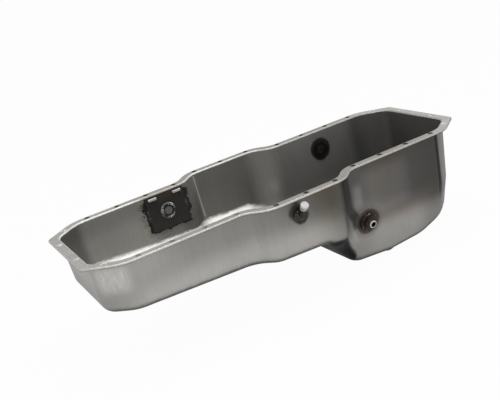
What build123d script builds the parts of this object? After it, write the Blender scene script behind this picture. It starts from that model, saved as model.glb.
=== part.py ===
from build123d import *
import math
import os

# Steel sheet and the opening, measured between the inner wall faces at the flange
SHEET = 2.0
HALF_LENGTH = 391.0
HALF_WIDTH = 132.0
CORNER_ALONG = 49.0
CORNER_ACROSS = 39.0
BULGE_HALF_LENGTH = 75.0
BULGE_SHOULDER = 32.5
BULGE_HALF_WIDTH = 164.5

# Flange round the opening, with its turned down lip and its bolt holes
FLANGE_WIDTH = 18.3
FLANGE_END_RADIUS = 8.0
FLANGE_SIDE_RADIUS = 65.0
FLANGE_VALLEY_RADIUS = 35.0
FLANGE_CREST_RADIUS = 55.0
LIP_DEPTH = 4.5
LIP_BEND_RADIUS = 2.6
MOUTH_RADIUS = 4.0
HOLE_RADIUS = 4.5
HOLE_INSET = 9.0
HOLE_PITCH = 63.5
END_HOLE_SPACING = 102.0

# Walls: upper draft, knee, lower draft, and the radius of their upright corners
UPPER_DRAFT = 3.5
LOWER_DRAFT = 11.0
KNEE_DEPTH = 118.0
KNEE_RADIUS = 60.0
MOUTH_END_RADIUS = 30.0
KNEE_END_RADIUS = 33.0
WALL_SIDE_RADIUS = 55.0
SHOULDER_RADIUS = 42.0

# Floors, as depths of the inner face below the flange, with two lifts above the deepest line
FRONT_DEPTH = 102.0
STEP_X = 40.0
STEP_DEPTH = 124.5
FOOT_X = 119.0
FOOT_LIFT = 8.5
LOW_X = 205.0
LOW_DEPTH = 221.0
RISE_X = 289.0
RISE_LIFT = 5.0
REAR_DEPTH = 174.0
STEP_BEND_RADIUS = 30.0
FOOT_BEND_RADIUS = 40.0
LOW_BEND_RADIUS = 60.0
RISE_BEND_RADIUS = 100.0
FLOOR_EDGE_RADIUS = 22.0

# Threaded ports: a welded bush, a sealing washer and a plug
SUMP_THREAD_RADIUS = 9.0
REAR_THREAD_RADIUS = 11.0
FRONT_THREAD_RADIUS = 9.0
BUSH_WALL = 6.5
BUSH_STAND = 5.0
BUSH_INSIDE = 4.0
WELD_LEG = 3.0
WASHER_LAND = 4.0
WASHER_THICKNESS = 1.5
PLUG_COLLAR_THICKNESS = 3.0
PLUG_HEAD_RADIUS = 7.8
PLUG_HEAD_LENGTH = 6.5
PLUG_SOCKET_WIDTH = 8.0
PLUG_SOCKET_DEPTH = 6.0
PLUG_SHORTFALL = 1.0
PLUG_EDGE = 0.8

# Clearances between the pieces
WALL_GAP = 0.05
THREAD_GAP = 0.1
WASHER_GAP = 0.3
CAP_GAP = 0.05

# Where the ports sit: along the pan and down from the flange
SUMP_PORT_X = 149.0
SUMP_PORT_DROP = 128.0
REAR_PORT_X = 225.0
REAR_PORT_DROP = 43.0
FRONT_PORT_X = -157.0
FRONT_PORT_DROP = 42.5

# Backing plate inside the wall round the front port, with two ears at its top
PLATE_LENGTH = 84.0
PLATE_HEIGHT = 71.0
PLATE_THICKNESS = 3.0
PLATE_CORNER_RADIUS = 5.0
EAR_LENGTH = 18.5
EAR_HEIGHT = 7.0
EAR_STAND = 5.0
EAR_INSET = 5.5
EAR_EDGE = 1.5

# Level stub on the bulge: a pad with a short tube that leans upwards, closed by a push-on cap
STUB_X = -15.0
STUB_DROP = 41.0
STUB_ANGLE = 52.0
STUB_RADIUS = 6.2
STUB_BORE_RADIUS = 4.4
STUB_LENGTH = 34.0
STUB_PAD_RADIUS = 12.0
STUB_PAD_THICKNESS = 4.5
STUB_PAD_EDGE = 2.0
CAP_RADIUS = 7.7
CAP_LENGTH = 13.0
CAP_TOP = 2.0
CAP_EDGE = 1.5

# Drain in the deepest floor: a welded bush, its washer and a hexagon plug
DRAIN_X = 217.0
DRAIN_Y = -69.0
DRAIN_THREAD_RADIUS = 9.0
DRAIN_STAND = 2.5
DRAIN_HEX_WIDTH = 24.0
DRAIN_HEX_LENGTH = 5.0
DRAIN_HEX_CHAMFER = 1.0

# Stock that is cut away again, so it only has to be large enough
STOCK = 150.0
WALL_STOCK = 20.0


def slope(degrees):
    """Rise over run of an angle."""
    return math.tan(math.radians(degrees))


def grown(points, amount):
    """A counter-clockwise polygon with each side moved outwards by the same amount."""
    moved = []
    for index, point in enumerate(points):
        here = Vector(*point)
        into = (here - Vector(*points[index - 1])).normalized()
        onward = (Vector(*points[(index + 1) % len(points)]) - here).normalized()
        before = Vector(into.Y, -into.X)
        after = Vector(onward.Y, -onward.X)
        moved.append(here + (before + after) * (amount / (1 + before.dot(after))))
    return moved


def rounded(points, radii):
    """A flat face with the given corners, each rounded by its own radius."""
    return make_face(FilletPolyline(*points, radius=radii, close=True))


def opening_points():
    """Corners of the opening, anticlockwise from the right end of the far side."""
    far_right = [
        (HALF_LENGTH, HALF_WIDTH - CORNER_ACROSS),
        (HALF_LENGTH - CORNER_ALONG, HALF_WIDTH),
        (BULGE_HALF_LENGTH + BULGE_SHOULDER, HALF_WIDTH),
        (BULGE_HALF_LENGTH, BULGE_HALF_WIDTH),
    ]
    far_side = far_right + [(-x, y) for x, y in reversed(far_right)]
    return far_side + [(x, -y) for x, y in reversed(far_side)]


def plan(spread, end, side, valley, crest):
    """Plan outline moved outwards by spread, its end, side, valley and crest corners rounded."""
    half_side = [end, side, valley, crest]
    return rounded(grown(opening_points(), spread), (half_side + half_side[::-1]) * 2)


def inset(depth):
    """How far the walls have come inwards at a depth below the flange."""
    upper = min(depth, KNEE_DEPTH)
    return upper * slope(UPPER_DRAFT) + (depth - upper) * slope(LOWER_DRAFT)


def wall_block(spread):
    """Everything inside the walls: an upper and a lower taper that meet at the knee."""
    bottom = LOW_DEPTH + WALL_STOCK
    sections = []
    for depth, end in [(0, MOUTH_END_RADIUS), (KNEE_DEPTH, KNEE_END_RADIUS), (bottom, KNEE_END_RADIUS)]:
        valley = SHOULDER_RADIUS + inset(depth) / 2 - spread
        crest = SHOULDER_RADIUS - inset(depth) / 2 + spread
        outline = plan(spread - inset(depth), end + spread, WALL_SIDE_RADIUS + spread, valley, crest)
        sections.append(Pos(0, 0, -depth) * outline)
    block = loft(sections, ruled=True)
    knee = [edge for edge in block.edges() if abs(edge.center().Z + KNEE_DEPTH) < SHEET / 2]
    return fillet(knee, KNEE_RADIUS)


def floor_block(spread):
    """Everything above the floors: the tray, the ramp, the sump and its rise to the rear wall."""
    front_slope = (STEP_DEPTH - FRONT_DEPTH) / (STEP_X + HALF_LENGTH)
    rear_slope = (LOW_DEPTH - RISE_LIFT - REAR_DEPTH) / (HALF_LENGTH - RISE_X)
    line = [
        (-HALF_LENGTH - STOCK, STOCK * front_slope - FRONT_DEPTH),
        (STEP_X, -STEP_DEPTH),
        (FOOT_X, FOOT_LIFT - LOW_DEPTH),
        (LOW_X, -LOW_DEPTH),
        (RISE_X, RISE_LIFT - LOW_DEPTH),
        (HALF_LENGTH + STOCK, STOCK * rear_slope - REAR_DEPTH),
        (HALF_LENGTH + STOCK, STOCK),
        (-HALF_LENGTH - STOCK, STOCK),
    ]
    radii = [0, STEP_BEND_RADIUS - spread, FOOT_BEND_RADIUS + spread, LOW_BEND_RADIUS + spread,
             RISE_BEND_RADIUS + spread, 0, 0, 0]
    side = rounded(grown(line, spread), radii)
    return extrude(Plane.XZ * side, BULGE_HALF_WIDTH + STOCK, both=True)


def body_block(spread):
    """Filled pan body: walls and floors cut to each other, with the edge round the floor rounded."""
    walls = wall_block(spread)
    floors = floor_block(spread)
    block = (walls & floors).solid()
    return fillet(new_edges(walls, floors, combined=block), FLOOR_EDGE_RADIUS + spread)


def rim_y(x):
    """Half width of the opening at a distance along the pan."""
    over = (abs(x) - BULGE_HALF_LENGTH) / BULGE_SHOULDER
    share = min(max(over, 0), 1)
    return BULGE_HALF_WIDTH + (HALF_WIDTH - BULGE_HALF_WIDTH) * share


def hole_points():
    """Centres of the bolt holes in the flange."""
    steps = int((HALF_LENGTH - CORNER_ALONG) / HOLE_PITCH)
    along = [step * HOLE_PITCH for step in range(-steps, steps + 1)]
    sides = [(x, rim_y(x) + HOLE_INSET) for x in along]
    chamfer = math.hypot(CORNER_ALONG, CORNER_ACROSS)
    corner_x = HALF_LENGTH - CORNER_ALONG / 2 + HOLE_INSET * CORNER_ACROSS / chamfer
    corner_y = HALF_WIDTH - CORNER_ACROSS / 2 + HOLE_INSET * CORNER_ALONG / chamfer
    end_x = HALF_LENGTH + HOLE_INSET
    end_y = END_HOLE_SPACING / 2
    half = sides + [(corner_x, corner_y), (-corner_x, corner_y), (end_x, end_y), (-end_x, end_y)]
    return half + [(x, -y) for x, y in half]


def flange_ring():
    """Flat flange with its lip turned down, still filled in the middle."""
    rim = plan(FLANGE_WIDTH, FLANGE_END_RADIUS, FLANGE_SIDE_RADIUS, FLANGE_VALLEY_RADIUS, FLANGE_CREST_RADIUS)
    ring = extrude(rim, -LIP_DEPTH)
    ring = fillet(ring.faces().sort_by(Axis.Z)[-1].edges(), LIP_BEND_RADIUS)
    under = plan(FLANGE_WIDTH - SHEET, FLANGE_END_RADIUS - SHEET, FLANGE_SIDE_RADIUS - SHEET,
                 FLANGE_VALLEY_RADIUS + SHEET, FLANGE_CREST_RADIUS - SHEET)
    hollow = extrude(Pos(0, 0, -LIP_DEPTH) * under, LIP_DEPTH - SHEET)
    hollow = fillet(hollow.faces().sort_by(Axis.Z)[-1].edges(), LIP_BEND_RADIUS - SHEET)
    return ring - hollow


def shell(outer):
    """Pressed pan: body, flange and lip in one sheet, hollowed and with its bolt holes."""
    pan = (outer + flange_ring() - body_block(0)).solid()
    sealing_face = pan.faces().filter_by(Axis.Z).sort_by(Axis.Z)[-1]
    pan = fillet(sealing_face.inner_wires()[0].edges(), MOUTH_RADIUS)
    underside = pan.faces().filter_by(Axis.Z).sort_by(Axis.Z)[-2]
    pan = fillet(underside.inner_wires()[0].edges(), MOUTH_RADIUS - SHEET)
    return pan - [Pos(x, y) * Cylinder(HOLE_RADIUS, 4 * LIP_DEPTH) for x, y in hole_points()]


def outward(x, y, drop, droop):
    """Frame on a wall: Y runs up the wall and Z out of the pan, turned down from level by the droop."""
    side = math.copysign(1, y)
    normal = (0, side * math.cos(math.radians(droop)), -math.sin(math.radians(droop)))
    return Plane(origin=(x, y, -drop), x_dir=(-side, 0, 0), z_dir=normal).location


def rod(radius, low, high):
    """Round bar along the frame's Z between two heights."""
    return Pos(0, 0, low) * Cylinder(radius, high - low, align=(Align.CENTER, Align.CENTER, Align.MIN))


def weld(radius):
    """Sloping weld collar round a bar, carried on below the sheet so it can be cut to it."""
    return Cone(radius + 2 * WELD_LEG, radius, 2 * WELD_LEG)


def bush(place, outer, thread_radius, stand, inside):
    """Welded bush through the sheet, its collar cut to the wall it stands on."""
    collar = place * (weld(thread_radius + BUSH_WALL) & rod(STOCK, -WELD_LEG, stand)) - outer
    barrel = place * rod(thread_radius + BUSH_WALL, -inside, stand)
    return collar + barrel - place * rod(thread_radius, -STOCK, STOCK)


def washer(thread_radius, stand):
    """Flat sealing ring on the face of a bush."""
    ring = rod(thread_radius + WASHER_LAND, stand, stand + WASHER_THICKNESS)
    return ring - rod(thread_radius + WASHER_GAP, stand, stand + WASHER_THICKNESS)


def shank(thread_radius, stand, inside):
    """Plug shank in the bush, up to the seat of its head on the washer."""
    bar = rod(thread_radius - THREAD_GAP, PLUG_SHORTFALL - inside, stand + WASHER_THICKNESS)
    return chamfer(bar.edges().sort_by(Axis.Z)[0], PLUG_EDGE)


def socket_plug(thread_radius, stand, inside):
    """Plug with a round collar and a slim head that has a hexagon socket."""
    seat = stand + WASHER_THICKNESS
    top = seat + PLUG_COLLAR_THICKNESS
    collar = rod(thread_radius + WASHER_LAND - PLUG_EDGE, seat, top)
    collar = chamfer(collar.edges().sort_by(Axis.Z)[-1], PLUG_EDGE)
    head = rod(PLUG_HEAD_RADIUS, top, top + PLUG_HEAD_LENGTH)
    head = chamfer(head.edges().sort_by(Axis.Z)[-1], PLUG_EDGE)
    socket = extrude(RegularPolygon(PLUG_SOCKET_WIDTH / 2, 6, major_radius=False), -PLUG_SOCKET_DEPTH)
    plug = shank(thread_radius, stand, inside) + collar + head
    return plug - Pos(0, 0, top + PLUG_HEAD_LENGTH) * socket


def hexagon_plug(thread_radius, stand, inside):
    """Plug with a hexagon head whose outer corners are turned off."""
    seat = stand + WASHER_THICKNESS
    hexagon = RegularPolygon(DRAIN_HEX_WIDTH / 2, 6, major_radius=False)
    head = extrude(Pos(0, 0, seat) * hexagon, DRAIN_HEX_LENGTH)
    turned = rod(DRAIN_HEX_WIDTH / 2 + DRAIN_HEX_CHAMFER, seat, seat + DRAIN_HEX_LENGTH)
    turned = chamfer(turned.edges().sort_by(Axis.Z)[-1], DRAIN_HEX_CHAMFER)
    return shank(thread_radius, stand, inside) + (head & turned)


def backing_plate():
    """Plate against the inside of the wall, with two ears standing on its top edge."""
    sheet = extrude(RectangleRounded(PLATE_LENGTH, PLATE_HEIGHT, PLATE_CORNER_RADIUS), -PLATE_THICKNESS)
    reach = (PLATE_LENGTH - EAR_LENGTH) / 2 - EAR_INSET
    ear = Box(EAR_LENGTH, EAR_HEIGHT, EAR_STAND, align=(Align.CENTER, Align.MAX, Align.MAX))
    ear = fillet(ear.faces().sort_by(Axis.Z)[0].edges(), EAR_EDGE)
    return sheet + [Pos(side * reach, PLATE_HEIGHT / 2, -PLATE_THICKNESS) * ear for side in (-1, 1)]


def level_stub():
    """Pad on the wall with a short tube that leans upwards, bored right through."""
    pad = rod(STUB_PAD_RADIUS, 0, STUB_PAD_THICKNESS)
    pad = chamfer(pad.edges().sort_by(Axis.Z)[-1], STUB_PAD_EDGE)
    tube = Rot(-STUB_ANGLE, 0, 0) * rod(STUB_RADIUS, 0, STUB_LENGTH)
    outside = rod(STOCK, 0, STOCK)
    return (pad + (tube & outside)) - Rot(-STUB_ANGLE, 0, 0) * rod(STUB_BORE_RADIUS, -STOCK, STOCK)


def stub_cap():
    """Push-on cap over the end of the tube."""
    top = STUB_LENGTH + CAP_TOP
    cap = rod(CAP_RADIUS, top - CAP_LENGTH, top)
    cap = fillet(cap.edges().sort_by(Axis.Z)[-1], CAP_EDGE)
    return Rot(-STUB_ANGLE, 0, 0) * (cap - rod(STUB_RADIUS + CAP_GAP, top - CAP_LENGTH, STUB_LENGTH))


def save(name, solid):
    """Write one node."""
    solid.label = name
    export_step(solid, f"parts/{name}.step")


def main():
    os.makedirs("parts", exist_ok=True)
    outer = body_block(SHEET)
    pan = shell(outer)
    skin = SHEET * math.cos(math.radians(UPPER_DRAFT))
    wall_y = HALF_WIDTH + SHEET
    ports = [
        ("sump_port", SUMP_PORT_X, -1, SUMP_PORT_DROP, LOWER_DRAFT, SUMP_THREAD_RADIUS, 0),
        ("rear_port", REAR_PORT_X, 1, REAR_PORT_DROP, UPPER_DRAFT, REAR_THREAD_RADIUS, 0),
        ("front_port", FRONT_PORT_X, 1, FRONT_PORT_DROP, UPPER_DRAFT, FRONT_THREAD_RADIUS, PLATE_THICKNESS),
    ]
    for name, x, side, drop, droop, thread_radius, backing in ports:
        place = outward(x, side * (wall_y - inset(drop)), drop, droop)
        inside = skin + backing + BUSH_INSIDE
        passage = place * rod(thread_radius + BUSH_WALL + WALL_GAP, -STOCK / 2, STOCK / 2)
        save(f"{name}_bush", bush(place, outer, thread_radius, BUSH_STAND, inside))
        save(f"{name}_washer", place * washer(thread_radius, BUSH_STAND))
        save(f"{name}_plug", place * socket_plug(thread_radius, BUSH_STAND, inside))
        pan = pan - passage
        if backing:
            save(f"{name}_plate", place * Pos(0, 0, -skin) * backing_plate() - passage)

    stub_y = inset(STUB_DROP) - BULGE_HALF_WIDTH - SHEET
    place = outward(STUB_X, stub_y, STUB_DROP, UPPER_DRAFT)
    save("level_stub", place * level_stub())
    save("level_stub_cap", place * stub_cap())
    pan = pan - place * Rot(-STUB_ANGLE, 0, 0) * rod(STUB_BORE_RADIUS, -STOCK / 2, STOCK / 2)

    rise_slope = RISE_LIFT / (RISE_X - LOW_X)
    drain_drop = LOW_DEPTH - (DRAIN_X - LOW_X) * rise_slope + SHEET
    place = Plane(origin=(DRAIN_X, DRAIN_Y, -drain_drop), x_dir=(1, 0, 0), z_dir=(0, 0, -1)).location
    inside = SHEET + BUSH_INSIDE
    save("drain_bush", bush(place, outer, DRAIN_THREAD_RADIUS, DRAIN_STAND, inside))
    save("drain_washer", place * washer(DRAIN_THREAD_RADIUS, DRAIN_STAND))
    save("drain_plug", place * hexagon_plug(DRAIN_THREAD_RADIUS, DRAIN_STAND, inside))
    pan = pan - place * rod(DRAIN_THREAD_RADIUS + BUSH_WALL + WALL_GAP, -STOCK / 2, STOCK / 2)
    save("pan_shell", pan)


main()
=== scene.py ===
import math
from collections import namedtuple

import bmesh
import bpy
import numpy as np
from mathutils import Matrix, Vector


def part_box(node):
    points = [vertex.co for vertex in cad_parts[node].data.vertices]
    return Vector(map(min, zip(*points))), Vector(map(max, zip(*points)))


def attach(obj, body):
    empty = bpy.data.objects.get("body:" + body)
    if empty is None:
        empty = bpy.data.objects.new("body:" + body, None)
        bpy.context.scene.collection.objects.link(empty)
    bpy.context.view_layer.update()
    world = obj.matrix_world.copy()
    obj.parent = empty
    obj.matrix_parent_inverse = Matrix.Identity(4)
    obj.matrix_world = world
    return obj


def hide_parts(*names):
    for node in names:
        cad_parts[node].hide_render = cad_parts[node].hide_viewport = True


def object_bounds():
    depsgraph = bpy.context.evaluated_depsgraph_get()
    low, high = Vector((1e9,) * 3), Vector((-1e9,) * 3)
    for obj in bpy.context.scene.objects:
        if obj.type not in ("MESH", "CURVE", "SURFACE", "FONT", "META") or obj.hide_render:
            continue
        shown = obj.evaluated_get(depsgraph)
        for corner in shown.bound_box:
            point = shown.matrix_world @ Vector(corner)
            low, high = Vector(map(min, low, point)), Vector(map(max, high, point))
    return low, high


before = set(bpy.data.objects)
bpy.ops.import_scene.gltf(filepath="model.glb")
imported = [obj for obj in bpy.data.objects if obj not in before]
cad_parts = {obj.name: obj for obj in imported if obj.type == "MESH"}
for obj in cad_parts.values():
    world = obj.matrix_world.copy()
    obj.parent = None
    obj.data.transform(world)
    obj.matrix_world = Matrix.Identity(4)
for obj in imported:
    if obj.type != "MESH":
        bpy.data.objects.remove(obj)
cad_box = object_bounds()
MM = 0.001


# Places on the pan, in millimetres, and the slopes of its walls, in degrees

SHEET = 2.0
UPPER_DRAFT, LOWER_DRAFT = 3.5, 11.0
DEEP_END = 391.0
BUSH_WALL, BUSH_STAND, DRAIN_STAND = 6.5, 5.0, 2.5
WASHER_THICKNESS, COLLAR_THICKNESS = 1.5, 3.0


def middle(node):
    """Middle of a CAD node's box."""
    low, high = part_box(node)
    return np.array((low + high) / 2) / MM


class Port:
    """A welded port: where its axis leaves the sheet, its outward axis and the two axes across it.

    The side is -1 for the near wall, 1 for the far wall and 0 for the floor. The droop is how many degrees
    the axis points down, and the stand is how far the bush stands out from the sheet.
    """

    def __init__(self, name, side, droop, stand):
        angle = math.radians(droop)
        self.name = name
        self.out = np.array((0.0, side * math.cos(angle), -math.sin(angle)))
        self.along = np.array((-side or 1.0, 0.0, 0.0))
        self.up = np.cross(self.out, self.along)
        self.axes = (self.along, self.up, self.out)
        self.stand = stand
        self.foot = middle(f"{name}_washer") - self.out * (stand + WASHER_THICKNESS / 2)


SUMP = Port("sump_port", -1, LOWER_DRAFT, BUSH_STAND)
REAR = Port("rear_port", 1, UPPER_DRAFT, BUSH_STAND)
FRONT = Port("front_port", 1, UPPER_DRAFT, BUSH_STAND)
DRAIN = Port("drain", 0, 90.0, DRAIN_STAND)
THREAD_RADIUS = {"sump_port": 9.0, "rear_port": 11.0, "front_port": 9.0, "drain": 9.0}

# Backing plate of the front port, with its two ears
PLATE_LOW, PLATE_HIGH = (np.array(corner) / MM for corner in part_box("front_port_plate"))
PLATE_MIDDLE, PLATE_HALF = (PLATE_LOW + PLATE_HIGH) / 2, (PLATE_HIGH - PLATE_LOW) / 2
EAR_HEIGHT = 7.0

# Bolt holes: their pitch, the rows along the sides and the bulges, and the outermost ones
HOLE_PITCH = 63.5
SIDE_HOLES, BULGE_HOLES, BULGE_HALF = 141.0, 173.5, 95.0
END_HOLE, CORNER_HOLE = (400.0, 51.0), (372.1, 119.5)

# Level stub on the near bulge, and its cap, as heights along the tube
STUB_LEAN, STUB_RADIUS = math.radians(52.0), 6.2
CAP_BOTTOM, CAP_TOP, CAP_RADIUS = 23.0, 36.0, 7.7
CAP_RIBS, CAP_SKIRT = 12, 8.4
WALL_SLOPE = math.radians(UPPER_DRAFT)
LENGTHWISE = np.array((1.0, 0.0, 0.0))
WALL_OUT = np.array((0.0, -math.cos(WALL_SLOPE), -math.sin(WALL_SLOPE)))
WALL_UP = np.cross(WALL_OUT, LENGTHWISE)
TUBE_AXIS = math.cos(STUB_LEAN) * WALL_OUT + math.sin(STUB_LEAN) * WALL_UP
CAP_ACROSS = np.cross(TUBE_AXIS, LENGTHWISE)
STUB_FOOT = middle("level_stub_cap") - TUBE_AXIS * (CAP_BOTTOM + CAP_TOP) / 2


# Shader helpers

class Value:
    """A number on a surface: wraps an output socket, and each operator adds its Math node."""

    def __init__(self, tree, socket):
        self.tree = tree
        self.socket = socket

    def maths(self, operation, *others):
        """Adds a Math node that takes this value first and the others after it."""
        inputs = {0: self, **dict(enumerate(others, 1))}
        return self.tree.add("ShaderNodeMath", {"operation": operation}, inputs)[0]

    def flipped(self, operation, other):
        """Adds a Math node that takes the other first and this value after it."""
        return self.tree.add("ShaderNodeMath", {"operation": operation}, {0: other, 1: self})[0]

    def __add__(self, other):
        return self.maths("ADD", other)

    def __sub__(self, other):
        return self.maths("SUBTRACT", other)

    def __mul__(self, other):
        return self.maths("MULTIPLY", other)

    def __truediv__(self, other):
        return self.maths("DIVIDE", other)

    def __pow__(self, other):
        return self.maths("POWER", other)

    def __radd__(self, other):
        return self.flipped("ADD", other)

    def __rsub__(self, other):
        return self.flipped("SUBTRACT", other)

    def __rmul__(self, other):
        return self.flipped("MULTIPLY", other)

    def clamp(self):
        """This value kept between 0 and 1."""
        return self.tree.add("ShaderNodeClamp", {}, {"Value": self})[0]

    def high(self, other):
        """The higher of the two."""
        return self.maths("MAXIMUM", other)

    def low(self, other):
        """The lower of the two."""
        return self.maths("MINIMUM", other)

    def size(self):
        """This value without its sign."""
        return self.maths("ABSOLUTE")

    def root(self):
        """The square root of this value."""
        return self.maths("SQRT")

    def rise(self, start, end, kind="SMOOTHERSTEP"):
        """0 before start, 1 after end, eased between them; start may be above end."""
        settings = {"interpolation_type": kind}
        if start < end:
            return self.tree.add("ShaderNodeMapRange", settings, {"Value": self, 1: start, 2: end})[0]
        return 1.0 - self.tree.add("ShaderNodeMapRange", settings, {"Value": self, 1: end, 2: start})[0]

    def ramp(self, start, end):
        """0 before start, 1 after end, in a straight line between them."""
        return self.rise(start, end, "LINEAR")

    def band(self, start, end, soft):
        """1 between start and end, eased to 0 over soft outside them."""
        return self.rise(start - soft, start) * self.rise(end + soft, end)

    def toward(self, other, share):
        """This value moved towards another by a share of the way."""
        return self + (other - self) * share


class Tree:
    """The nodes of a material or a world under construction."""

    def __init__(self, owner):
        owner.use_nodes = True
        self.nodes = owner.node_tree.nodes
        self.links = owner.node_tree.links

    def add(self, kind, settings, inputs, output=None):
        """Adds a node: its settings first, then the values or links of its sockets; gives its outputs."""
        node = self.nodes.new(kind)
        for key, setting in settings.items():
            setattr(node, key, setting)
        for key, given in inputs.items():
            self.feed(node.inputs[key], given)
        if output is not None:
            return Value(self, node.outputs[output])
        return [Value(self, socket) for socket in node.outputs]

    def feed(self, socket, given):
        """Links a value to a socket, or sets a number or a colour on it."""
        if isinstance(given, Value):
            self.links.new(given.socket, socket)
        elif hasattr(given, "__len__") and len(given) == 3 and len(socket.default_value) == 4:
            socket.default_value = (*given, 1.0)
        else:
            socket.default_value = given

    def ray(self, kind):
        """1 for a ray of the given kind and 0 for any other."""
        return self.add("ShaderNodeLightPath", {}, {}, f"Is {kind} Ray")


class Paint(Tree):
    """A material of the pan: one Principled BSDF and the nodes that feed it."""

    def __init__(self, name):
        self.material = bpy.data.materials.new(name)
        super().__init__(self.material)
        self.shader = self.nodes["Principled BSDF"]
        self.place = self.add("ShaderNodeTexCoord", {}, {}, "Object")

    def set(self, **sockets):
        """Feeds sockets of the shader, each named in lower case with underscores."""
        for key, given in sockets.items():
            self.feed(self.shader.inputs[key.replace("_", " ").title()], given)
        return self

    def axes(self):
        """Object coordinates in millimetres."""
        split = self.add("ShaderNodeSeparateXYZ", {}, {0: self.place})
        return [axis * 1000.0 for axis in split]

    def attribute(self, name):
        """A number that the mesh stores for each of its points."""
        return self.add("ShaderNodeAttribute", {"attribute_name": name}, {}, "Fac")

    def noise(self, scale, detail=3.0, rough=0.55, stretch=(1, 1, 1)):
        """Noise from 0 to 1 with cells of 1000 / scale millimetres, squeezed along each axis by stretch."""
        place = self.add("ShaderNodeVectorMath", {"operation": "MULTIPLY"}, {0: self.place, 1: stretch})[0]
        inputs = {"Vector": place, "Scale": scale, "Detail": detail, "Roughness": rough}
        return self.add("ShaderNodeTexNoise", {}, inputs, "Fac")

    def mix(self, share, first, second, blend="MIX"):
        """The first colour with a share of the second blended in."""
        settings = {"data_type": "RGBA", "blend_type": blend, "clamp_factor": True}
        return self.add("ShaderNodeMix", settings, {0: share, 6: first, 7: second})[2]

    def metal_tone(self, tone):
        """Slightly warm grey that reflects the given share of the light."""
        return self.mix(tone, (0.0, 0.0, 0.0), (1.0, 0.985, 0.94))

    def bump(self, height, depth):
        """Feeds Normal from a height from 0 to 1 that stands for depth in metres."""
        inputs = {"Strength": 1.0, "Distance": depth, "Height": height}
        return self.set(normal=self.add("ShaderNodeBump", {}, inputs, "Normal"))


def distance(axes, centre):
    """How far a point lies from a centre."""
    total = 0.0
    for axis, start in zip(axes, centre):
        total = (axis - start) * (axis - start) + total
    return total.root()


def reach(axes, foot, out):
    """How far a point lies outwards along an axis from its foot."""
    total = 0.0
    for axis, start, part in zip(axes, foot, out):
        total = (axis - start) * part + total
    return total


# Materials

def painted_shade_on_walls(x, z):
    """Share of painted shade on the outer walls, for the dark that the metal mirrors: little on the tray,
    most high up on the sump.
    """
    share = 0.1 + 0.52 * x.ramp(-110, 50) + 0.12 * x.ramp(170, 330)
    # The painted shade's lower edge drops from the tray to the sump, and a little further towards the deep
    # end
    foot = -20.0 - 100.0 * x.ramp(-100, 190) - 0.15 * (x - 190.0).high(0.0)
    ends = 1.0 - 0.6 * x.rise(336, 346)
    return share * (z - foot).rise(-55, 45) * ends


def wall_tone(x, y, z, upward, marks):
    """Brightness of the outer walls before the burns at the welds, with their light and shade painted in."""
    # Even grey with painted light: paler along the tray, low down where the sheet mirrors the pale floor, and
    # near the shallow end
    tone = 0.335 + 0.04 * x.rise(-90, -220) + 0.1 * z.rise(-120, -160)
    tone = tone + 0.18 * z.rise(-35, -95) * x.rise(90, -10) * x.rise(-395, -285)
    tone = tone + 0.12 * z.rise(-90, -20) * x.rise(-190, -320)
    # Painted shade high up on the sump
    tone = tone * (1.0 - painted_shade_on_walls(x, z))
    # Painted shade where the sheet turns under, most of all under the ramp
    tone = tone * (1.0 - 0.65 * upward.rise(-0.3, -0.72))
    under_ramp = x.band(42, 112, 8) * z.rise(-116, -132) * upward.rise(-0.15, -0.5)
    tone = tone * (1.0 - 0.95 * under_ramp)
    # Painted shade on the shoulder between the near bulge and the sump, and a faint painted highlight on the
    # ridge below it
    bent = x - 18.0 * z.rise(-70, -125)
    shoulder = bent.rise(84, 99) * bent.rise(122, 110) * y.rise(-106, -121) * z.rise(-140, -126)
    tone = tone * (1.0 - shoulder * (0.62 + 0.17 * z.rise(-88, -108)))
    ridge = (x - 79.6 + 0.2435 * z).size().rise(6, 2) * z.band(-162, -128, 6) * y.rise(-90, -104)
    tone = tone + 0.07 * ridge
    # Sump: a painted highlight beside the bulge, a painted dark line before the deep end, a broad painted
    # paler field and painted shade in the low corners
    tone = tone * (1.0 + 0.8 * x.band(131, 133, 17) * z.band(-74, -62, 30))
    tone = tone * (1.0 - 0.7 * x.band(335, 341, 4) * z.rise(-160, -120))
    tone = tone * (1.0 + 0.42 * x.band(170, 230, 45) * z.band(-100, -45, 35))
    low_corners = 0.5 * x.rise(185, 125) * x.rise(100, 125) + x.rise(255, 330)
    tone = tone * (1.0 - 0.3 * low_corners * z.rise(-105, -140))
    # Upright drawing marks on the sides near the shallow end
    draw = x.band(-378, -352, 24) * z.band(-46, -26, 28) * y.size().rise(85, 105)
    return tone + draw * (0.1 + 0.12 * marks)


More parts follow.
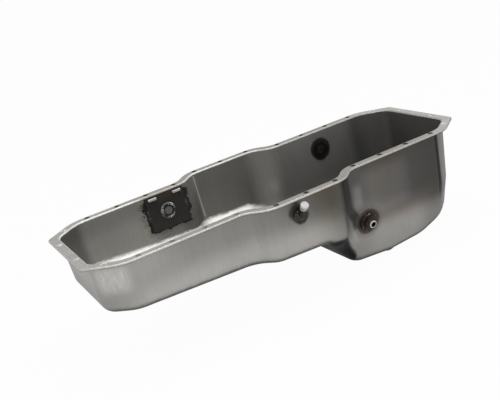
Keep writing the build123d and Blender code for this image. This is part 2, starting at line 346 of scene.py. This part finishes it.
def inner_tone(x, y, z, upward):
    """Brightness inside with light and shade painted in: pale on the tray and its floor, dark towards the
    deep end.
    """
    tone = 0.31 + 0.03 * x.ramp(60, 160) - 0.1 * x.ramp(200, DEEP_END)
    # Painted shade at both ends, and from the bulges on
    tone = tone * (1.0 - 0.45 * x.rise(-325, -355)) * (1.0 - 0.38 * x.rise(290, 335))
    tone = tone * (1.0 - 0.2 * x.rise(-80, -60)) * (1.0 - 0.16 * x.band(-60, 45, 15))
    # Painted light on the sides of the tray, paler low down, and a painted highlight in the valley between
    # the far bulge and the sump
    tone = tone * (1.0 + x.rise(-65, -95) * (0.2 - 0.3 * z.rise(-60, -12)))
    tone = tone * (1.0 + 0.5 * distance((x, y, z), VALLEY_GLOW).rise(34.0, 6.0) * y.rise(80, 100))
    # Painted shade on the far wall of the tray, low down and more so beside the bulge
    tray = x.rise(-70, -82) * y.rise(80, 100)
    tone = tone * (1.0 - tray * 0.35 * x.rise(-215, -170) * z.rise(-40, -90))
    tone = tone * (1.0 - tray * 0.34 * x.rise(-150, -115) * z.rise(-15, -60))
    # Tray floor, with a painted highlight where it bends up into the sides
    floor = upward.rise(0.15, 0.6)
    bend = y.size().rise(38, 90)
    tone = tone.toward(0.48 + (0.3 + 0.17 * y.rise(-20, 20)) * bend, floor * x.rise(90, 40))
    # Painted highlight in the corner between the tray's far wall and the bulge
    corner = (x + 73.6 + 0.0253 * z).size().rise(1.7, 0.5) * y.rise(120, 140) * z.band(-96, -7, 3)
    return tone + 0.3 * corner


def from_holes(x, y):
    """Distance to the nearest bolt hole along the sides, and to the nearest at the ends and corners."""
    along, across = x.size(), y.size()
    nearest = (along / HOLE_PITCH + 0.5).maths("FLOOR") * HOLE_PITCH
    row = SIDE_HOLES + (BULGE_HOLES - SIDE_HOLES) * along.ramp(BULGE_HALF + 0.5, BULGE_HALF)
    ends = distance((along, across), END_HOLE).low(distance((along, across), CORNER_HOLE))
    return distance((along, across), (nearest, row)), ends


def burns_and_shade(paint, x, y, z, inward, colour):
    """Burns round the welds, and a spot of painted shade, over a colour: gives the colour and how deep they
    are.
    """
    ragged = paint.noise(75.0, 4.0, 0.65)
    fine = paint.noise(240.0, 3.0)
    burn_and_shade, specks = 0.0, 0.0
    tan, rust, coal = (0.17, 0.14, 0.085), (0.1, 0.05, 0.035), (0.026, 0.025, 0.022)
    for spot in BURN_AND_SHADE_SPOTS:
        away = distance((x, y, z), spot.centre) + (ragged - 0.5) * 6.0
        if spot.inside:
            away = away + (1.0 - inward) * 200.0
        tanned = away.rise(spot.radius + spot.halo, spot.radius) * (0.2 + 0.4 * ragged)
        colour = paint.mix(tanned, colour, tan)
        rusted = away.band(spot.radius - 0.5, spot.radius + 1.0, 2.0) * spot.rust
        colour = paint.mix(rusted, colour, rust)
        black = away.rise(spot.radius + spot.soft, spot.radius - 0.7 * spot.soft) * spot.depth
        colour = paint.mix(black, colour, coal)
        burn_and_shade = black + burn_and_shade
        specks = fine.rise(0.64, 0.7) * away.rise(spot.radius + 24.0, spot.radius) + specks
    # Round the backing plate, on the inside of the far wall, the burn spills out in lumps
    side = y.rise(110, 118) * inward
    beside = (x - PLATE_MIDDLE[0]).size() - PLATE_HALF[0]
    above = (z - PLATE_MIDDLE[2]).size() - PLATE_HALF[2]
    lumps = paint.noise(60.0, 3.0, 0.7)
    spill = (3.5 + 8.0 * lumps.rise(0.36, 0.6)) * z.band(-60, -16, 8)
    spill = spill + 4.0 * lumps.rise(0.42, 0.6) * z.rise(-60, -70)
    away = beside.high(above) - spill
    colour = paint.mix(away.rise(12.0, 1.5) * side * 0.4, colour, tan)
    black = away.rise(2.4, 0.6) * side * 0.97
    colour = paint.mix(black, colour, coal)
    specks = fine.rise(0.64, 0.7) * away.rise(26.0, 4.0) * side + specks
    colour = paint.mix(specks.clamp() * 0.55, colour, coal)
    return colour, (burn_and_shade + black).clamp()


# A burn at a weld, or a spot of painted shade: its radius, tan halo and soft edge in millimetres, how deep
# and how rusty it is, from 0 to 1, and whether only the inner face is marked
BurnAndShade = namedtuple("BurnAndShade", "centre radius halo depth rust soft inside")
FRONT_INNER_FACE = FRONT.foot - FRONT.out * SHEET
PLATE_CORNER = FRONT_INNER_FACE + np.array((7.0 - PLATE_HALF[0], 0.0, 0.0)) - FRONT.up * 31.0
# Middle of the painted shade at the foot of the far bulge's crease, inside
BULGE_FOOT = np.array((-84.0, 132.0, -99.0))
# Middle of a painted highlight inside, in the valley between the far bulge and the sump
VALLEY_GLOW = np.array((84.0, 118.0, -84.0))
BURN_AND_SHADE_SPOTS = [
    BurnAndShade(SUMP.foot, 25.0, 16.0, 0.74, 0.3, 5.0, False),
    BurnAndShade(REAR.foot, 24.5, 5.0, 0.99, 0.0, 2.0, False),
    BurnAndShade(FRONT.foot + FRONT.out * SHEET, 26.0, 12.0, 0.8, 0.2, 3.0, False),
    BurnAndShade(DRAIN.foot, 22.0, 10.0, 0.8, 0.2, 3.0, False),
    BurnAndShade(STUB_FOOT + 0.5 * WALL_UP, 15.0, 7.0, 0.9, 0.0, 5.0, False),
    BurnAndShade(STUB_FOOT + np.array((-8.0, 0.0, 10.0)), 13.0, 7.0, 0.85, 0.0, 8.0, False),
    BurnAndShade(PLATE_CORNER, 8.0, 2.0, 0.97, 0.0, 2.0, True),
    # Painted shade where the far bulge's crease meets the tray floor, inside; there is no weld there
    BurnAndShade(BULGE_FOOT, 9.0, 1.0, 0.7, 0.0, 6.0, True),
]


def drawn_steel():
    """Drawn satin sheet with painted light and shade: pale on the tray, dark high on the sump, bright bends,
    burnt at the welds.
    """
    paint = Paint("drawn_steel")
    x, y, z = paint.axes()
    inward = paint.attribute("inward").rise(0.0, 0.3)
    upward = paint.attribute("upward")
    broad = paint.noise(6.0, 2.0)
    cloud = paint.noise(24.0, 4.0, 0.6)
    grain = paint.noise(900.0, 2.0)
    streaks = paint.noise(170.0, 3.0, 0.6, (1, 1, 0.03))
    marks = paint.noise(760.0, 2.0, 0.7, (1, 1, 0.02)).rise(0.42, 0.62)
    speckle = paint.noise(420.0, 3.0, 0.7).rise(0.47, 0.62)

    tone = wall_tone(x, y, z, upward, marks).toward(inner_tone(x, y, z, upward), inward)
    tone = tone * (0.86 + 0.16 * broad + 0.16 * cloud) * (0.93 + 0.14 * streaks)
    # The flange's flat top: paler at both ends, and less speckled towards the deep end
    flat = z.rise(-0.8, -0.1)
    far = x.ramp(-60, DEEP_END)
    flange = (0.31 + 0.18 * x.rise(230, DEEP_END) + 0.08 * x.rise(-200, -330)) * (0.8 + 0.4 * cloud)
    flange = flange + 0.24 * speckle * (1.0 - 0.4 * far)
    tone = tone.toward(flange, flat)
    # Painted highlights on the bend into the mouth and the bend into the lip, over a painted shadow under the
    # lip
    bend = z.rise(-3.8, -3.2) * z.rise(-0.04, -0.35)
    mouth = bend * inward * upward.rise(0.1, 0.4)
    tone = tone.toward(0.72 - 0.3 * far + 0.2 * speckle, mouth * 0.9)
    outer = (1.0 - inward) * (1.0 - flat)
    tone = tone.toward(0.62 - 0.1 * far + 0.25 * speckle, bend * outer * (0.5 + 0.4 * y.rise(-100, -130)))
    tone = tone * (1.0 - 0.35 * z.band(-6.5, -4.0, 0.6) * outer)
    # Painted shade in the holes along the sides, and painted light on the walls of those at the ends, where
    # light shows through
    hole, end_hole = from_holes(x, y)
    hole_shade = 0.9 - 0.6 * y.rise(-100, -130) * x.rise(-80, -110)
    tone = tone.toward(0.03, hole.rise(5.7, 5.1) * z.rise(-3.2, -2.4) * hole_shade)
    tone = tone.toward(1.0, end_hole.rise(5.9, 4.9) * z.rise(-3.0, -2.4))
    colour = paint.metal_tone(tone.clamp())

    # Warm film outside on the sump, olive film on the near bulge, and a tan stain on the far flange
    warm = broad.rise(0.36, 0.6) * x.band(20, 300, 60) * z.band(-130, -20, 40)
    colour = paint.mix(warm * 0.7 * (1.0 - inward), colour, (1.0, 0.88, 0.8), "MULTIPLY")
    olive = x.band(30, 80, 25) * z.band(-70, -15, 18) * y.rise(-90, -110)
    colour = paint.mix(olive * (0.3 + 0.6 * cloud), colour, (0.93, 0.93, 0.76), "MULTIPLY")
    tanned = x.band(-212, -126, 14) * z.rise(-3.0, -1.0) * y.rise(118, 128)
    colour = paint.mix(tanned * (0.12 + 0.3 * cloud), colour, (0.3, 0.29, 0.19))
    # Burns round the welds, and a spot of painted shade at the foot of the far bulge
    colour, burn_and_shade = burns_and_shade(paint, x, y, z, inward, colour)

    paint.set(base_color=colour, metallic=1.0 - burn_and_shade * 0.45)
    paint.set(roughness=0.4 + cloud * 0.12 + marks * 0.05 + burn_and_shade * 0.25 + inward * 0.16)
    paint.bump(streaks * 0.5 + marks * 0.2 + grain * 0.3, 0.00011)
    return paint.material


def dark_steel(name, tone, glints, rough=0.45, glint_spots_from=0.56, fineness=420.0):
    """Steel blackened by the weld with small painted glints on it, more of them from a lower
    glint_spots_from.
    """
    paint = Paint(name)
    cloud = paint.noise(60.0, 3.0)
    glint_spots = paint.noise(fineness, 3.0, 0.7).rise(glint_spots_from, glint_spots_from + 0.12)
    grain = paint.noise(1100.0, 2.0)
    paint.set(base_color=paint.metal_tone(tone * (0.6 + 0.8 * cloud) + glint_spots * glints), metallic=0.9)
    paint.set(roughness=rough + cloud * 0.12 - glint_spots * 0.1)
    paint.bump(grain * 0.4 + glint_spots * 0.6, 0.00012)
    return paint.material


def plate_scale():
    """Black scale on the backing plate, brown between its ears, whose upper parts carry a painted highlight
    over fine streaks.
    """
    paint = Paint("plate_scale")
    x, y, z = paint.axes()
    cloud = paint.noise(40.0, 4.0, 0.6)
    grain = paint.noise(500.0, 3.0)
    ground = paint.noise(600.0, 2.0, 0.6, (0.05, 1, 1))
    under_ears = PLATE_HIGH[2] - EAR_HEIGHT
    top = z.rise(under_ears - 6.0, PLATE_HIGH[2] - 1.0)
    # Painted highlight on the upper part of the ears
    ears = z.rise(under_ears + 2.0, under_ears + 2.8)
    ears = ears * y.rise(PLATE_LOW[1] + 4.2, PLATE_LOW[1] + 3.2)
    ears = ears * (x - PLATE_MIDDLE[0]).size().rise(8.0, 10.0)
    colour = paint.metal_tone(0.018 + 0.03 * cloud)
    colour = paint.mix(top * (0.4 + cloud * 0.4), colour, (0.07, 0.05, 0.016))
    colour = paint.mix(ears, colour, paint.mix(ground, (0.5, 0.47, 0.52), (0.78, 0.75, 0.8)))
    paint.set(base_color=colour, metallic=0.5 + ears * 0.5, roughness=0.55 + cloud * 0.15 - ears * 0.2)
    paint.bump(grain * (1.0 - ears) + ground * ears * 0.5, 0.00015)
    return paint.material


def plug_steel(port, inner_end, end_glints=0.0):
    """Blackened plug whose slim head is turned bright, with painted shade round its socket; its inner end is
    plain.
    """
    paint = Paint(f"{port.name}_plug_steel")
    # How far out along the plug's axis a point lies, and how far off it
    axes = paint.axes()
    out = reach(axes, port.foot, port.out)
    off = (distance(axes, port.foot) ** 2.0 - out * out).high(0.0).root()
    collar_top = port.stand + WASHER_THICKNESS + COLLAR_THICKNESS
    turned = paint.noise(800.0, 2.0)
    cloud = paint.noise(90.0, 3.0)
    # The head is bright only outside its socket's rim; nearer the socket it stays dark as painted shade
    head = out.rise(collar_top + 0.1, collar_top + 0.9) * off.rise(5.6, 6.2)
    tone = (0.022 + 0.025 * cloud).toward(0.74 + 0.15 * turned, head)
    # Painted glints on the inner end
    glint_spots = paint.noise(560.0, 3.0, 0.7).rise(0.5, 0.62) * end_glints
    tone = tone.toward(inner_end * (0.8 + 0.4 * cloud) + glint_spots, out.rise(-1.0, -3.0))
    colour = paint.mix((1.0 - head) * out.rise(1.0, 3.0) * 0.35, paint.metal_tone(tone), (0.1, 0.05, 0.04))
    colour = paint.mix(out.rise(-1.0, 0.0) * off.rise(3.4, 2.4), colour, (0.14, 0.15, 0.1))
    paint.set(base_color=colour, metallic=0.95, roughness=0.34 - head * 0.1 + turned * 0.08)
    paint.bump(turned, 0.00004)
    return paint.material


def copper():
    """Sealing ring: copper, browned by heat."""
    paint = Paint("copper_washer")
    cloud = paint.noise(120.0, 3.0)
    paint.set(base_color=paint.mix(cloud.rise(0.3, 0.7), (0.42, 0.11, 0.07), (0.2, 0.05, 0.04)), metallic=0.9)
    paint.set(roughness=0.38 + cloud * 0.15)
    paint.bump(paint.noise(900.0, 2.0), 0.00003)
    return paint.material


def cap_plastic():
    """White moulded plastic, with painted shade on its ribbed skirt: greyer over it, dark in the rib valleys
    and groove.
    """
    paint = Paint("cap_plastic")
    axes = paint.axes()
    height = reach(axes, STUB_FOOT, TUBE_AXIS)
    angle = reach(axes, STUB_FOOT, CAP_ACROSS).maths("ARCTAN2", reach(axes, STUB_FOOT, LENGTHWISE))
    cloud = paint.noise(140.0, 3.0)
    shoulder = CAP_BOTTOM + CAP_SKIRT
    skirt = height.rise(shoulder, shoulder - 1.0)
    valleys = (angle * CAP_RIBS).maths("COSINE").rise(0.2, -0.7) * skirt
    groove = height.band(shoulder - 0.5, shoulder + 0.1, 0.4)
    # Painted shade: greyer on the skirt, dark in the rib valleys and in the groove above them
    colour = paint.mix(skirt * 0.4 + cloud * 0.2, (0.88, 0.88, 0.86), (0.52, 0.52, 0.5))
    colour = paint.mix((valleys * 0.75).high(groove * 0.6), colour, (0.16, 0.16, 0.15))
    paint.set(base_color=colour, metallic=0.0, roughness=0.38 + cloud * 0.1)
    paint.bump(cloud, 0.0001)
    return paint.material


# Finishes of the pieces, by the name of their CAD node where a piece has its own
FINISH = {
    "pan_shell": drawn_steel(),
    "front_port_plate": plate_scale(),
    "level_stub": dark_steel("stub_steel", 0.06, 0.12),
    "rear_port_bush": dark_steel("rear_bush_steel", 0.02, 0.12, glint_spots_from=0.58),
    "sump_port_plug": plug_steel(SUMP, 0.1),
    "rear_port_plug": plug_steel(REAR, 0.035, 0.16),
    "front_port_plug": plug_steel(FRONT, 0.24),
    "drain_plug": dark_steel("drain_plug_steel", 0.09, 0.05),
}
# Bushes and weld beads: blackened steel with painted glints
bush_steel = dark_steel("bush_steel", 0.04, 0.06)
weld_steel = dark_steel("weld_steel", 0.045, 0.5, 0.3)
glinting_weld = dark_steel("glinting_weld", 0.08, 0.9, 0.46, glint_spots_from=0.46, fineness=640.0)
washer_copper = copper()
white_plastic = cap_plastic()
SLOTS = {"pan_shell": "drawn_steel", "front_port_plate": "scaled_steel", "level_stub": "stub_steel"}


def finish_of(name):
    """The finish of a CAD node by its name, and its slot in the record."""
    if name.endswith("washer"):
        return washer_copper, "copper"
    if name.endswith("bush"):
        return FINISH.get(name, bush_steel), "bush_steel"
    return FINISH[name], SLOTS.get(name, "plug_steel")


# Meshes

def place_piece(name, mesh, finish, slot):
    """Puts a mesh into the scene as a piece of the pan with its finish."""
    piece = bpy.data.objects.new(name, mesh)
    bpy.context.scene.collection.objects.link(piece)
    mesh.materials.clear()
    mesh.materials.append(finish)
    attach(piece, "root")
    return piece


def mark_facing(mesh):
    """Stores how far each point faces the middle of the pan, and how far it faces up.

    The middle is the nearest point of a line that runs along the pan a little below the flange.
    A point's normal is the mean of its triangles' normals, each weighted by the square of its area, so a
    wide wall keeps its own normal right up to the roundings along its edges.
    """
    half_line, line_depth = 330 * MM, 20 * MM
    points, corners = np.empty(len(mesh.vertices) * 3), np.empty(len(mesh.loops), dtype=np.int32)
    mesh.vertices.foreach_get("co", points)
    mesh.loops.foreach_get("vertex_index", corners)
    points, corners = points.reshape(-1, 3), corners.reshape(-1, 3)
    first, second, third = (points[corners[:, corner]] for corner in range(3))
    weighted = np.cross(second - first, third - first)
    weighted = weighted * np.linalg.norm(weighted, axis=1)[:, None]
    normals = np.zeros_like(points)
    for corner in range(3):
        np.add.at(normals, corners[:, corner], weighted)
    normals /= np.maximum(np.linalg.norm(normals, axis=1), 1e-30)[:, None]
    to_middle = np.zeros_like(points)
    to_middle[:, 0] = np.clip(points[:, 0], -half_line, half_line)
    to_middle[:, 2] = -line_depth
    to_middle -= points
    inward = (normals * to_middle).sum(1) / np.linalg.norm(to_middle, axis=1)
    for name, values in (("inward", inward), ("upward", normals[:, 2])):
        mesh.attributes.new(name, "FLOAT", "POINT").data.foreach_set("value", values.astype(np.float32))


def smoothed(name):
    """Copy of a CAD node with its loose triangles joined and its creases over 30 degrees kept sharp."""
    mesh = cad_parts[name].data.copy()
    mesh.name = f"{name}_skin"
    shape = bmesh.new()
    shape.from_mesh(mesh)
    bmesh.ops.remove_doubles(shape, verts=shape.verts, dist=0.002 * MM)
    for edge in shape.edges:
        edge.smooth = len(edge.link_faces) == 2 and edge.calc_face_angle(0.0) < math.radians(30)
    for face in shape.faces:
        face.smooth = True
    shape.to_mesh(mesh)
    shape.free()
    mark_facing(mesh)
    piece = place_piece(mesh.name, mesh, *finish_of(name))
    even = piece.modifiers.new("even_normals", "WEIGHTED_NORMAL")
    even.keep_sharp = True
    even.weight = 90
    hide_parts(name)


def surface(name, points, finish, slot, closed):
    """Smooth mesh from a grid of points in millimetres; closed says whether rows and columns join round."""
    rows, columns = points.shape[:2]
    row = np.arange(rows if closed[0] else rows - 1)[:, None]
    column = np.arange(columns if closed[1] else columns - 1)
    next_row, next_column = (row + 1) % rows, (column + 1) % columns
    corners = (row * columns + column, next_row * columns + column,
               next_row * columns + next_column, row * columns + next_column)
    mesh = bpy.data.meshes.new(name)
    mesh.from_pydata(points.reshape(-1, 3) * MM, [], np.stack(corners, -1).reshape(-1, 4).tolist())
    shape = bmesh.new()
    shape.from_mesh(mesh)
    bmesh.ops.remove_doubles(shape, verts=shape.verts, dist=0.001 * MM)
    bmesh.ops.dissolve_degenerate(shape, dist=0.001 * MM, edges=shape.edges)
    for face in shape.faces:
        face.smooth = True
    shape.to_mesh(mesh)
    shape.free()
    return place_piece(name, mesh, finish, slot)


def turn(steps):
    """Angles of a full turn."""
    return np.linspace(0.0, 2.0 * np.pi, steps, endpoint=False)


def ring_bead(name, foot, axes, radius, height, thickness, ripples, stretch=1.0, finish=weld_steel):
    """Weld bead: a closed ring round an axis, its section swelling with each ripple of the weld.

    At angle a round the axis and b round the section, the section's radius is the thickness times
    1 + 0.16 sin(ripples a + 1.2 cos b) + 0.12 sin(3 a + radius). The point lies the ring's radius plus that
    radius times cos b out from the axis, stretched along the second axis, and the height plus that radius
    times sin b along the axis.
    """
    along, up, out = axes
    a, b = turn(ripples * 8)[:, None], turn(16)[None, :]
    section = thickness * (1 + 0.16 * np.sin(ripples * a + 1.2 * np.cos(b)) + 0.12 * np.sin(3 * a + radius))
    away = radius + section * np.cos(b)
    points = (foot + (away * np.cos(a))[..., None] * along + (away * np.sin(a) * stretch)[..., None] * up
              + (height + section * np.sin(b))[..., None] * out)
    return surface(name, points, finish, "bush_steel", (True, True))


def weld_run(name, start, end, side, thickness, lumps):
    """Short weld run: a tapered bar between two points whose section swells with each lump.

    At share s of the way and angle b round it, the section's radius is the thickness times the root of
    sin(pi s) times 1 + 0.22 sin(2 pi lumps s + 0.8 cos b). The point lies that far from the line across
    the side, and 0.6 of that far along it, which keeps the run from coming through the sheet.
    """
    line = end - start
    across = np.cross(line / np.linalg.norm(line), side)
    s, b = np.linspace(0.0, 1.0, lumps * 8 + 1)[:, None], turn(14)[None, :]
    swelling = 1 + 0.22 * np.sin(2 * np.pi * lumps * s + 0.8 * np.cos(b))
    section = thickness * np.sqrt(np.sin(np.pi * s).clip(0)) * swelling
    points = (start + s[..., None] * line + (section * np.cos(b))[..., None] * across
              - 0.6 * (section * np.sin(b))[..., None] * side)
    return surface(name, points, weld_steel, "bush_steel", (False, True))


def ribbed_cap():
    """Push-on cap: a profile of radius and height turned round the tube's axis, with a ribbed skirt.

    At angle a the radius is the profile's, less the rib depth times the square of sin(ribs a / 2) on the
    outside of the skirt.
    """
    rib_depth, groove, edge, crown_thickness = 0.3, 0.5, 2.0, 2.0
    bore, narrow = STUB_RADIUS + 0.1, CAP_RADIUS - 0.6
    arc = np.linspace(0.0, np.pi / 2, 7)
    shoulder = CAP_BOTTOM + CAP_SKIRT
    inside = [(0.0, CAP_TOP - crown_thickness), (bore, CAP_TOP - crown_thickness), (bore, CAP_BOTTOM)]
    skirt = [(narrow - 0.3, CAP_BOTTOM), (narrow, CAP_BOTTOM + 0.4), (narrow, shoulder - 0.8)]
    neck = [(narrow - groove, shoulder - 0.4), (narrow - groove, shoulder), (CAP_RADIUS, shoulder + 0.6)]
    crown = [(CAP_RADIUS - edge + edge * math.cos(t), CAP_TOP - edge + edge * math.sin(t)) for t in arc]
    profile = np.array(inside + skirt + neck + crown + [(0.0, CAP_TOP)])
    a = turn(CAP_RIBS * 12)[:, None]
    on_skirt = (profile[:, 0] > narrow - 0.35) & (profile[:, 1] < shoulder - 0.6)
    radius = profile[:, 0] - rib_depth * on_skirt * np.sin(CAP_RIBS * a / 2) ** 2
    points = (STUB_FOOT + (radius * np.cos(a))[..., None] * LENGTHWISE
              + (radius * np.sin(a))[..., None] * CAP_ACROSS + profile[:, 1][:, None] * TUBE_AXIS)
    cap = surface("level_stub_cap_skin", points, white_plastic, "cap_plastic", (True, False))
    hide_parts("level_stub_cap")


for node in sorted(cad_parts):
    if node != "level_stub_cap":
        smoothed(node)
ribbed_cap()

for port in (SUMP, REAR, FRONT, DRAIN):
    barrel = THREAD_RADIUS[port.name] + BUSH_WALL
    ring_bead(f"{port.name}_outer_weld", port.foot, port.axes,
              radius=barrel + 1.2, height=1.5, thickness=2.7, ripples=30)
ring_bead("front_port_inner_weld", FRONT.foot - FRONT.out * (SHEET + 3.0), FRONT.axes,
          radius=13.4, height=-0.8, thickness=3.2, ripples=26, finish=glinting_weld)
ring_bead("level_stub_weld", STUB_FOOT, (LENGTHWISE, WALL_UP, WALL_OUT),
          radius=12.2, height=1.1, thickness=2.2, ripples=22, stretch=1.06)


def plate_welds():
    """Weld runs down both sides of the backing plate."""
    wall = FRONT.foot - FRONT.out * (SHEET + 1.2)
    for name, side, low, high in (("left", -1, -18.0, 16.0), ("right", 1, -12.0, 12.0)):
        edge = wall + np.array((side * PLATE_HALF[0], 0.0, 0.0))
        start, end = edge + FRONT.up * low, edge + FRONT.up * high
        weld_run(f"front_port_{name}_weld", start, end, FRONT.out, thickness=3.6, lumps=5)


plate_welds()


# Stage, light and camera

def panel(name, corners, material):
    """Four-cornered sheet of the stage."""
    mesh = bpy.data.meshes.new(name)
    mesh.from_pydata(corners, [], [(0, 1, 2, 3)])
    sheet = bpy.data.objects.new(name, mesh)
    bpy.context.scene.collection.objects.link(sheet)
    mesh.materials.append(material)


def floor_paper():
    """Pale paper: nearly plain white to the camera, with a faint shadow, and less so in the metal."""
    paper = bpy.data.materials.new("floor_paper")
    tree = Tree(paper)
    tree.nodes.clear()
    whiteness = (tree.ray("Camera") * 0.97).high(tree.ray("Glossy") * 0.3)
    pale = tree.add("ShaderNodeBsdfDiffuse", {}, {"Color": (0.9, 0.9, 0.9)}, "BSDF")
    glow = tree.add("ShaderNodeEmission", {}, {}, "Emission")
    mixed = tree.add("ShaderNodeMixShader", {}, {0: whiteness, 1: pale, 2: glow}, "Shader")
    tree.add("ShaderNodeOutputMaterial", {}, {"Surface": mixed})
    return paper


def white_world(level):
    """World that is plain white where it is seen, directly or in the metal, and lights at the given level."""
    world = bpy.data.worlds.new("studio")
    bpy.context.scene.world = world
    tree = Tree(world)
    tree.nodes.clear()
    seen = tree.ray("Camera").high(tree.ray("Glossy")).high(tree.ray("Transmission"))
    strength = tree.add("ShaderNodeMapRange", {}, {"Value": seen, "To Min": level, "To Max": 1.0})[0]
    glow = tree.add("ShaderNodeBackground", {}, {"Strength": strength}, "Background")
    tree.add("ShaderNodeOutputWorld", {}, {"Surface": glow})


def lamp(name, place, aim, size, power):
    """Rectangular lamp at a place in metres that points at its aim."""
    light = bpy.data.lights.new(name, "AREA")
    light.shape = "RECTANGLE"
    light.size, light.size_y = size
    light.energy = power
    holder = bpy.data.objects.new(name, light)
    holder.location = place
    holder.rotation_euler = (Vector(aim) - Vector(place)).to_track_quat("-Z", "Y").to_euler()
    bpy.context.scene.collection.objects.link(holder)


half_floor, low = 30.0, cad_box[0].z
floor_corners = [(-half_floor, -half_floor, low), (half_floor, -half_floor, low),
                 (half_floor, half_floor, low), (-half_floor, half_floor, low)]
panel("floor", floor_corners, floor_paper())
white_world(level=0.6)
lamp("overhead", place=(0.0, -0.2, 1.4), aim=(0.0, -0.1, 0.0), size=(1.8, 0.7), power=9.0)

# Camera: where it stands in metres, its three directions in the pan's frame, and its lens
stand = Vector((-0.6452, -1.3527, 0.4924))
right, down, onward = (0.8516, -0.4745, -0.2230), (-0.3513, -0.2009, -0.9144), (0.3891, 0.8571, -0.3377)
camera = bpy.data.objects.new("camera", bpy.data.cameras.new("camera"))
bpy.context.scene.collection.objects.link(camera)
turned = Matrix((right, [-part for part in down], [-part for part in onward])).transposed()
camera.matrix_world = Matrix.Translation(stand) @ turned.to_4x4()
camera.data.lens = 57.76
camera.data.sensor_width = 36.0
camera.data.clip_start, camera.data.clip_end = 0.05, 100.0
bpy.context.scene.camera = camera
bpy.context.scene.view_settings.view_transform = "Standard"
